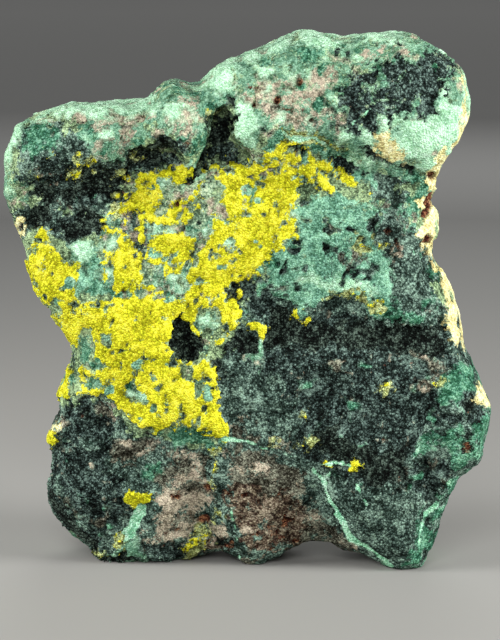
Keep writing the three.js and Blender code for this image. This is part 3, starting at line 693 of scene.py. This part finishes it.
def flat_faces(points, size, seed):
    """Broken ground from -1 to 1, made of flat faces of about that size in mm, which lie askew."""
    turned = points @ np.array([[0.80, 0.36, -0.48], [-0.60, 0.48, -0.64], [0.0, 0.80, 0.60]])
    place, corner = on_grid(turned, size)
    part = place - corner
    order = np.argsort(-part, axis=1)
    falling = np.column_stack([np.take_along_axis(part, order, axis=1), np.zeros(len(points))])
    total = (1 - falling[:, 0]) * lattice_random(corner, seed)
    rows = np.arange(len(points))
    for rank in range(3):
        corner[rows, order[:, rank]] += 1
        total += (falling[:, rank] - falling[:, rank + 1]) * lattice_random(corner, seed)
    return 2 * total - 1


# Outlines


def drawn_place(points):
    """Where each point's line of sight from the camera meets the plane that the outlines are on."""
    share = (DRAWING_PLANE - EYE[1]) / (points[:, 1] - EYE[1])
    return EYE[[0, 2]] + (points[:, [0, 2]] - EYE[[0, 2]]) * share[:, None]


def distance_to_side(places, start, end):
    """How far each place is from a straight line between two corners, in mm."""
    run = end - start
    along = np.clip((places - start) @ run / (run @ run), 0, 1)
    return np.linalg.norm(places - start - along[:, None] * run, axis=1)


def depth_inside(places, outline):
    """How far each place is inside a closed outline, in mm, and below 0 outside it."""
    corners = np.array(outline)
    depth = np.full(len(places), OUTSIDE)
    low = corners.min(axis=0) + OUTSIDE
    high = corners.max(axis=0) - OUTSIDE
    near = np.all((places > low) & (places < high), axis=1)
    tested = places[near]
    distance = np.full(len(tested), -OUTSIDE)
    inside = np.zeros(len(tested), dtype=bool)
    for start, end in zip(corners, np.roll(corners, -1, axis=0)):
        distance = np.minimum(distance, distance_to_side(tested, start, end))
        spans = (start[1] > tested[:, 1]) != (end[1] > tested[:, 1])
        rise = np.where(end[1] == start[1], 1e-9, end[1] - start[1])
        crossing = start[0] + (tested[:, 1] - start[1]) / rise * (end[0] - start[0])
        inside ^= spans & (tested[:, 0] < crossing)
    depth[near] = np.where(inside, distance, -distance)
    return depth


def depth_in_zone(places, outlines, spots=()):
    """How deep each place is in one mineral's outlines and round spots, in mm."""
    depth = np.full(len(places), OUTSIDE)
    for outline in outlines:
        depth = np.maximum(depth, depth_inside(places, outline))
    for x, z, radius in spots:
        depth = np.maximum(depth, radius - np.linalg.norm(places - (x, z), axis=1))
    return depth


def depth_in_lines(places, lines):
    """The same for lines of a given width."""
    depth = np.full(len(places), OUTSIDE)
    for width, line in lines:
        corners = np.array(line)
        for start, end in zip(corners, corners[1:]):
            depth = np.maximum(depth, width / 2 - distance_to_side(places, start, end))
    return depth


# The rock's mesh


def coarse_rock():
    """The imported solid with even, small faces, as points in mm and triangles."""
    source = bpy.data.objects.new("coarse_rock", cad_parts["specimen"].data.copy())
    bpy.context.scene.collection.objects.link(source)
    remesh = source.modifiers.new("even_faces", "REMESH")
    remesh.mode = "VOXEL"
    remesh.voxel_size = COARSE_VOXEL * MM
    bpy.context.view_layer.update()
    mesh = source.evaluated_get(bpy.context.evaluated_depsgraph_get()).to_mesh()
    points = np.empty(len(mesh.vertices) * 3)
    mesh.vertices.foreach_get("co", points)
    mesh.calc_loop_triangles()
    triangles = np.empty(len(mesh.loop_triangles) * 3, dtype=np.int64)
    mesh.loop_triangles.foreach_get("vertices", triangles)
    bpy.data.objects.remove(source)
    return points.reshape(-1, 3) / MM, triangles.reshape(-1, 3)


def sides_of(triangles):
    """Every side once, as pairs of point numbers, and each triangle's three side numbers."""
    pairs = np.stack([triangles, np.roll(triangles, -1, axis=1)], axis=2)
    pairs.sort(axis=2)
    sides, number = np.unique(pairs.reshape(-1, 2), axis=0, return_inverse=True)
    return sides, number.reshape(-1, 3)


def split_long_sides(points, triangles):
    """Halves the long sides on the front, and cuts the triangles beside them to match."""
    sides, number = sides_of(triangles)
    middles = points[sides].mean(axis=1)
    length = np.linalg.norm(points[sides[:, 0]] - points[sides[:, 1]], axis=1)
    split = (length > FINE_EDGE) & (middles[:, 1] < FRONT_LIMIT)
    new_number = np.full(len(sides), -1)
    new_number[split] = len(points) + np.arange(split.sum())
    cut = new_number[number]
    cuts = (cut >= 0).sum(axis=1)
    # Turn each triangle so that its cut sides come first
    lead = np.where(cuts == 1, np.argmax(cut >= 0, axis=1), np.argmin(cut >= 0, axis=1) + 1)
    turn = (lead[:, None] + np.arange(3)) % 3
    a, b, c = np.take_along_axis(triangles, turn, axis=1).T
    ab, bc, ca = np.take_along_axis(cut, turn, axis=1).T
    pieces = [
        (cuts == 0, [(a, b, c)]),
        (cuts == 1, [(a, ab, c), (ab, b, c)]),
        (cuts == 2, [(ab, b, bc), (a, ab, bc), (a, bc, c)]),
        (cuts == 3, [(a, ab, ca), (ab, b, bc), (ca, bc, c), (ab, bc, ca)]),
    ]
    result = [np.stack(corners, axis=1)[chosen] for chosen, parts in pieces for corners in parts]
    return np.concatenate([points, middles[split]]), np.concatenate(result)


def smoothed(points, triangles, rounds):
    """The points, or what is known at them, evened out with their neighbours."""
    sides, _ = sides_of(triangles)
    count = np.bincount(sides.ravel(), minlength=len(points))[:, None]
    for _ in range(rounds):
        total = np.zeros_like(points)
        for axis in range(3):
            total[:, axis] = np.bincount(sides[:, 0], points[sides[:, 1], axis], len(points))
            total[:, axis] += np.bincount(sides[:, 1], points[sides[:, 0], axis], len(points))
        points = points + SMOOTHING * (total / count - points)
    return points


def outward(points, triangles):
    """The direction straight out of the surface at each point."""
    corners = points[triangles]
    facing = np.cross(corners[:, 1] - corners[:, 0], corners[:, 2] - corners[:, 0])
    total = np.zeros_like(points)
    for axis in range(3):
        for corner in range(3):
            total[:, axis] += np.bincount(triangles[:, corner], facing[:, axis], len(points))
    return total / np.linalg.norm(total, axis=1)[:, None]


def fine_rock():
    """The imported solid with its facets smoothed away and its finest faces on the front."""
    points, triangles = coarse_rock()
    points = smoothed(points, triangles, rounds=3)
    points, triangles = split_long_sides(points, triangles)
    return smoothed(points, triangles, rounds=2), triangles


# What lies where, and how high


def step(depth, softness):
    """0 outside an edge and 1 inside it, with a ramp that wide between them."""
    return eased(np.clip(depth / softness + 0.5, 0, 1))


def towards_camera(points, facing):
    """1 where the surface faces the camera, 0 where it is seen edge-on and below 0 behind."""
    sight = EYE - points
    return (facing * sight).sum(axis=1) / np.linalg.norm(sight, axis=1)


def drawn_depths(places):
    """How deep each place is in every mineral as it is drawn."""
    depths = {name: depth_in_zone(places, ZONES[name], SPOTS.get(name, ())) for name in LAYERS}
    depths["vein"] = np.maximum(depths["vein"], depth_in_lines(places, VEINS))
    gaps = depth_in_zone(places, YELLOW_GAPS)
    depths["yellow"] = np.minimum(depths["yellow"], -gaps)
    depths["teal"] = np.maximum(depths["teal"], gaps)
    return depths


def back_depth(points, name):
    """How deep each point is in one mineral's patches on the walls and the back."""
    if name not in BACK_PATCHES:
        return np.full(len(points), OUTSIDE)
    size, share, seed = BACK_PATCHES[name]
    patch = layered_noise(points, size, seed) + share
    if name == "pale":
        patch += np.clip((points[:, 2] - PALE_START) / PALE_RISE, 0, PALE_LIMIT)
    return np.clip(BACK_SLOPE * patch, OUTSIDE, -OUTSIDE)


def mineral_depths(points, facing):
    """For every mineral, how deep each point is inside it."""
    towards = towards_camera(points, facing)
    over_the_rim = np.clip(RIM_LIMIT - towards, 0, 1)[:, None]
    depths = drawn_depths(drawn_place(points) - RIM_REACH * over_the_rim * facing[:, [0, 2]])
    ragged = RAGGED_REACH * layered_noise(points, RAGGED_SIZE, seed=11, layers=4, fall=0.8)
    wander = SEEN_WANDER * layered_noise(points, size=5, seed=21)
    seen = step(towards - SEEN_LIMIT + wander, SEEN_WIDTH)
    for name, depth in depths.items():
        front = np.minimum(depth, MINERALS[name].patchy) + MINERALS[name].fray * ragged
        depths[name] = seen * front + (1 - seen) * back_depth(points, name)
    for number, (host, guest, size, rareness) in enumerate(INCLUSIONS):
        noise = layered_noise(points, size, INCLUSION_SEED + 3 * number, layers=2)
        patch = np.minimum(INCLUSION_SLOPE * size * (noise - rareness), depths[host])
        depths[host] = np.minimum(depths[host], -patch)
        depths[guest] = np.maximum(depths[guest], patch)
    return depths


def mineral_relief(points, depths):
    """How far the minerals stand out, with their lumps and grains, in mm."""
    heights = np.tile(MINERALS["rock"][:4], (len(points), 1))
    for name, depth in depths.items():
        heights += step(depth, MINERAL_SLOPE)[:, None] * (np.array(MINERALS[name][:4]) - heights)
    height, lumps, rough, grain = heights.T
    lump_shape = np.clip(1 - LUMP_CURVE * nearest_lump(points, LUMP_SIZE, seed=41) ** 2, LUMP_FLOOR, 1)
    rough_shape = layered_noise(points, ROUGH_SIZE, seed=51)
    grain_shape = GRAIN_TOP - nearest_lump(points, GRAIN_SIZE, seed=61)
    return height + (lumps * lump_shape + rough * rough_shape + grain * grain_shape)


def chips(points, faces):
    """Chips of several sizes, each on top of the larger ones."""
    return sum(share * flat_faces(points, size, seed) for size, share, seed in faces)


def chip_relief(points):
    """Flat chips, which are small on the front and large on the walls and the back, in mm."""
    behind = step(points[:, 1], CHIP_CHANGE)
    large = BACK_CHIPS * chips(points, BACK_FACES) - BACK_WEAR
    return behind * large + (1 - behind) * FRONT_CHIPS * chips(points, FRONT_FACES)


def carved(points, facing, depths):
    """The smooth rock's points moved out or in to where the finish is."""
    cracks = step(depth_in_lines(drawn_place(points), CRACKS) + CRACK_SPREAD, CRACK_SLOPE)
    edge_on = 1 - np.abs(towards_camera(points, facing))
    height = mineral_relief(points, depths) + chip_relief(points)
    height = height - CRACK_DEPTH * cracks - SINK - RIM_SINK * edge_on
    grown = points + facing * height[:, None]
    grown[:, 2] = np.maximum(grown[:, 2], 0)
    return grown


def pressed_flat(points, side):
    """The places of one half on a sheet, from 0 to 1, with its walls folded outwards."""
    flat = points[:, [0, 2]] - points[:, [0, 2]].mean(axis=0)
    wall = np.maximum(0, side * points[:, 1] + WALL_START)
    spread = flat * (1 + WALL_SPREAD * wall / np.linalg.norm(flat, axis=1))[:, None]
    return 0.5 + HALF_SHEET * spread / np.abs(spread).max(axis=0)


def sheet_places(points, triangles):
    """Where every triangle's corners lie on the texture sheet: the front left, the back right."""
    soft = smoothed(points, triangles, rounds=60)
    front = pressed_flat(soft, 1) * [FRONT_SHARE, 1]
    back = [1, 0] - pressed_flat(soft, -1) * [1 - FRONT_SHARE, -1]
    on_front = soft[triangles][:, :, 1].mean(axis=1) < SEAM
    return np.where(on_front[:, None, None], front[triangles], back[triangles])


def rock_mesh(points, triangles, sheet, values):
    """A smooth-shaded mesh that carries one number for each point and name in values."""
    mesh = bpy.data.meshes.new("rock")
    mesh.from_pydata((points * MM).tolist(), [], triangles.tolist())
    for name, numbers in values.items():
        attribute = mesh.attributes.new(name, "FLOAT", "POINT")
        attribute.data.foreach_set("value", numbers.astype(np.float32))
    layer = mesh.uv_layers.new(name="OFBake")
    layer.data.foreach_set("uv", sheet.astype(np.float32).ravel())
    mesh.polygons.foreach_set("use_smooth", [True] * len(mesh.polygons))
    mesh.update()
    return mesh


def build_rock():
    """The one piece: the remeshed solid, carved, with each mineral's depth stored at its points."""
    points, triangles = fine_rock()
    facing = outward(points, triangles)
    depths = mineral_depths(points, smoothed(facing, triangles, rounds=6))
    grown = carved(points, facing, depths)
    # How far each point lies below its smoothed surroundings, kept for the material's painted shade in the
    # hollows and painted highlight on the ridges
    hollow_for_painted_shade = ((smoothed(grown, triangles, rounds=20) - grown) * facing).sum(axis=1)
    mesh = rock_mesh(grown, triangles, sheet_places(points, triangles), {**depths, "hollow_for_painted_shade": hollow_for_painted_shade})
    rock = bpy.data.objects.new("rock", mesh)
    bpy.context.scene.collection.objects.link(rock)
    rock.data.materials.append(rock_material())
    return rock


# Materials


def linear(colour):
    """A screen colour from 0 to 255 as the light that it stands for, with an alpha of 1."""
    return [((part / 255 + 0.055) / 1.055) ** 2.4 if part > 10 else part / 3294 for part in colour] + [1]


class Shading:
    """Adds nodes to one material. A value that is a socket is linked, and any other is set."""

    def __init__(self, name, roughness, specular):
        self.material = bpy.data.materials.new(name)
        self.material.use_nodes = True
        self.tree = self.material.node_tree
        self.surface = self.tree.nodes["Principled BSDF"]
        self.surface.inputs["Roughness"].default_value = roughness
        self.surface.inputs["Specular IOR Level"].default_value = specular

    def put(self, socket, value):
        if isinstance(value, bpy.types.NodeSocket):
            self.tree.links.new(value, socket)
        else:
            socket.default_value = value

    def node(self, kind, inputs, **settings):
        made = self.tree.nodes.new(kind)
        for setting, value in settings.items():
            setattr(made, setting, value)
        for name, value in inputs.items():
            self.put(made.inputs[name], value)
        return made

    def maths(self, operation, first, second, clamp=False):
        inputs = {0: first, 1: second}
        return self.node("ShaderNodeMath", inputs, operation=operation, use_clamp=clamp).outputs[0]

    def place(self):
        """The place on the object, in metres."""
        return self.node("ShaderNodeTexCoord", {}).outputs["Object"]

    def place_in_mm(self):
        inputs = {0: self.place(), "Scale": 1 / MM}
        return self.node("ShaderNodeVectorMath", inputs, operation="SCALE").outputs[0]

    def noise(self, place, size, start, detail):
        shifted = self.node("ShaderNodeVectorMath", {0: place, 1: start}, operation="ADD").outputs[0]
        inputs = {"Vector": shifted, "Scale": 1 / size, "Detail": detail, "Roughness": 0.95}
        return self.node("ShaderNodeTexNoise", inputs).outputs["Fac"]

    def cells(self, place, size):
        """Each grain's random number, and the distance from its middle."""
        made = self.node("ShaderNodeTexVoronoi", {"Vector": place, "Scale": 1 / size})
        parts = self.node("ShaderNodeSeparateColor", {"Color": made.outputs["Color"]})
        return parts.outputs[0], made.outputs["Distance"]

    def attribute(self, name):
        return self.node("ShaderNodeAttribute", {}, attribute_name=name).outputs["Fac"]

    def mixed(self, share, first, second):
        made = self.node("ShaderNodeMix", {"Factor": share}, data_type="RGBA")
        self.put(made.inputs["A"], first)
        self.put(made.inputs["B"], second)
        return made.outputs["Result"]

    def ramp(self, value, stops):
        """The colour at a value, between stops that are a position and a screen colour each."""
        made = self.node("ShaderNodeValToRGB", {"Fac": value})
        elements = made.color_ramp.elements
        while len(elements) < len(stops):
            elements.new(0.5)
        for element, (position, colour) in zip(elements, stops):
            element.position = position
            element.color = linear(colour)
        return made.outputs["Color"]


def tone_noises(shading, place, grain, grain_distance):
    """Two noises that choose the tones, with the grains and painted shade in the gaps between them."""
    grain_tone = shading.maths("MULTIPLY", shading.maths("SUBTRACT", grain, 0.5), GRAIN_CONTRAST)
    # Painted shade in the gaps between the grains
    painted_gap_shade = shading.maths("MULTIPLY", shading.maths("SUBTRACT", grain_distance, 0.5), PAINTED_GAP_SHADE)
    grain_tone = shading.maths("SUBTRACT", grain_tone, painted_gap_shade)
    noises = [shading.noise(place, size, start, detail=4) for size, start in TONE_NOISES]
    return [shading.maths("ADD", noise, grain_tone) for noise in noises]


def mineral_colours(shading, place, noises):
    """The rock's colour with every mineral's laid over it in turn."""
    fray = shading.noise(place, FINE_FRAY_SIZE, (9, 33, 71), detail=2)
    fray = shading.maths("MULTIPLY", shading.maths("SUBTRACT", fray, 0.5), FINE_FRAY)
    colour = shading.ramp(noises[0], list(zip(TONE_PLACES, MINERALS["rock"].tones)))
    for number, name in enumerate(LAYERS, start=1):
        mineral = MINERALS[name]
        own_colour = shading.ramp(noises[number % 2], list(zip(TONE_PLACES, mineral.tones)))
        edge = shading.maths("MULTIPLY", fray, mineral.fray)
        edge = shading.maths("ADD", shading.attribute(name), edge)
        edge = shading.maths("MULTIPLY", edge, mineral.sharp)
        colour = shading.mixed(shading.maths("ADD", edge, 0.5, clamp=True), colour, own_colour)
    return colour


def with_painted_shade(shading, colour, grain):
    """The colour with each grain's own hue, with painted shade in the hollows and a painted highlight on
    the ridges.
    """
    hue = shading.maths("ADD", shading.maths("MULTIPLY", grain, HUE_SPREAD), 0.5 - HUE_SPREAD / 2)
    # Painted shade in the hollows and painted highlight on the ridges
    painted_shade = shading.maths("MULTIPLY", shading.attribute("hollow_for_painted_shade"), PAINTED_HOLLOW_SHADE)
    painted_light = shading.maths("MAXIMUM", shading.maths("SUBTRACT", 1.0, painted_shade), DARKEST_PAINTED_SHADE)
    painted_light = shading.maths("MINIMUM", painted_light, BRIGHTEST_PAINTED_HIGHLIGHT)
    inputs = {"Color": colour, "Hue": hue, "Value": painted_light}
    return shading.node("ShaderNodeHueSaturation", inputs).outputs["Color"]


def rock_material():
    shading = Shading("mineral_crusts", roughness=0.75, specular=0.05)
    place = shading.place_in_mm()
    grain, grain_distance = shading.cells(place, FINE_GRAIN)
    noises = tone_noises(shading, place, grain, grain_distance)
    colour = with_painted_shade(shading, mineral_colours(shading, place, noises), grain)
    shading.put(shading.surface.inputs["Base Color"], colour)
    height = shading.maths("SUBTRACT", shading.maths("MULTIPLY", noises[1], NOISE_RELIEF), grain_distance)
    inputs = {"Strength": 1.0, "Distance": FINE_RELIEF * MM, "Height": height}
    bump = shading.node("ShaderNodeBump", inputs)
    shading.put(shading.surface.inputs["Normal"], bump.outputs["Normal"])
    return shading.material


def floor_material():
    """Plain grey, darker in the ring that the camera sees behind the rock."""
    shading = Shading("pale_floor", roughness=0.9, specular=0.1)
    away = shading.node("ShaderNodeVectorMath", {0: shading.place()}, operation="LENGTH")
    share = shading.maths("DIVIDE", away.outputs["Value"], FLOOR_FADE)
    stops = [
        (0.0, (148, 147, 143)), (0.03, (138, 137, 133)), (0.06, (118, 118, 115)),
        (0.09, (98, 98, 96)), (0.15, (144, 144, 142)), (0.25, (172, 172, 170)),
    ]
    shading.put(shading.surface.inputs["Base Color"], shading.ramp(share, stops))
    return shading.material


# The set


def build_floor():
    bpy.ops.mesh.primitive_circle_add(vertices=96, radius=FLOOR_RADIUS, fill_type="NGON")
    floor = bpy.context.object
    floor.name = "floor"
    floor.data.materials.append(floor_material())


def aim_at(thing, place, target):
    """Puts a light or the camera at a place in mm and points it at a target."""
    back = place - target
    back = back / np.linalg.norm(back)
    right = np.cross([0.0, 0.0, 1.0], back)
    right /= np.linalg.norm(right)
    matrix = np.eye(4)
    matrix[:3, :3] = np.stack([right, np.cross(back, right), back], axis=1)
    matrix[:3, 3] = place * MM
    thing.matrix_world = matrix.T


def add_light(name, place, size, power):
    """A round soft light that shines on the middle of the rock."""
    data = bpy.data.lights.new(name, "AREA")
    data.shape = "DISK"
    data.size = size * MM
    data.energy = power
    light = bpy.data.objects.new(name, data)
    bpy.context.scene.collection.objects.link(light)
    aim_at(light, np.array(place), LIGHT_TARGET)


def light_scene():
    add_light("overhead", (-180, -160, 400), 200, 0.5)
    add_light("front", (-60, -460, 220), 240, 1.7)
    add_light("left_side", (-420, -120, 160), 200, 1.8)
    add_light("right_side", (420, -140, 160), 200, 3.2)
    add_light("behind", (60, 460, 260), 260, 0.9)
    world = bpy.data.worlds.new("studio")
    world.use_nodes = True
    background = world.node_tree.nodes["Background"]
    background.inputs["Color"].default_value = (1, 1, 1, 1)
    background.inputs["Strength"].default_value = 0.24
    bpy.context.scene.world = world


def place_camera():
    data = bpy.data.cameras.new("camera")
    data.sensor_fit = "VERTICAL"
    data.angle = CAMERA_FIELD
    camera = bpy.data.objects.new("camera", data)
    bpy.context.scene.collection.objects.link(camera)
    aim_at(camera, EYE, CAMERA_TARGET)
    bpy.context.scene.camera = camera
    bpy.context.scene.view_settings.view_transform = "Standard"


place_camera()
light_scene()
build_floor()
rock = build_rock()
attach(rock, "root")
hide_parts("specimen")
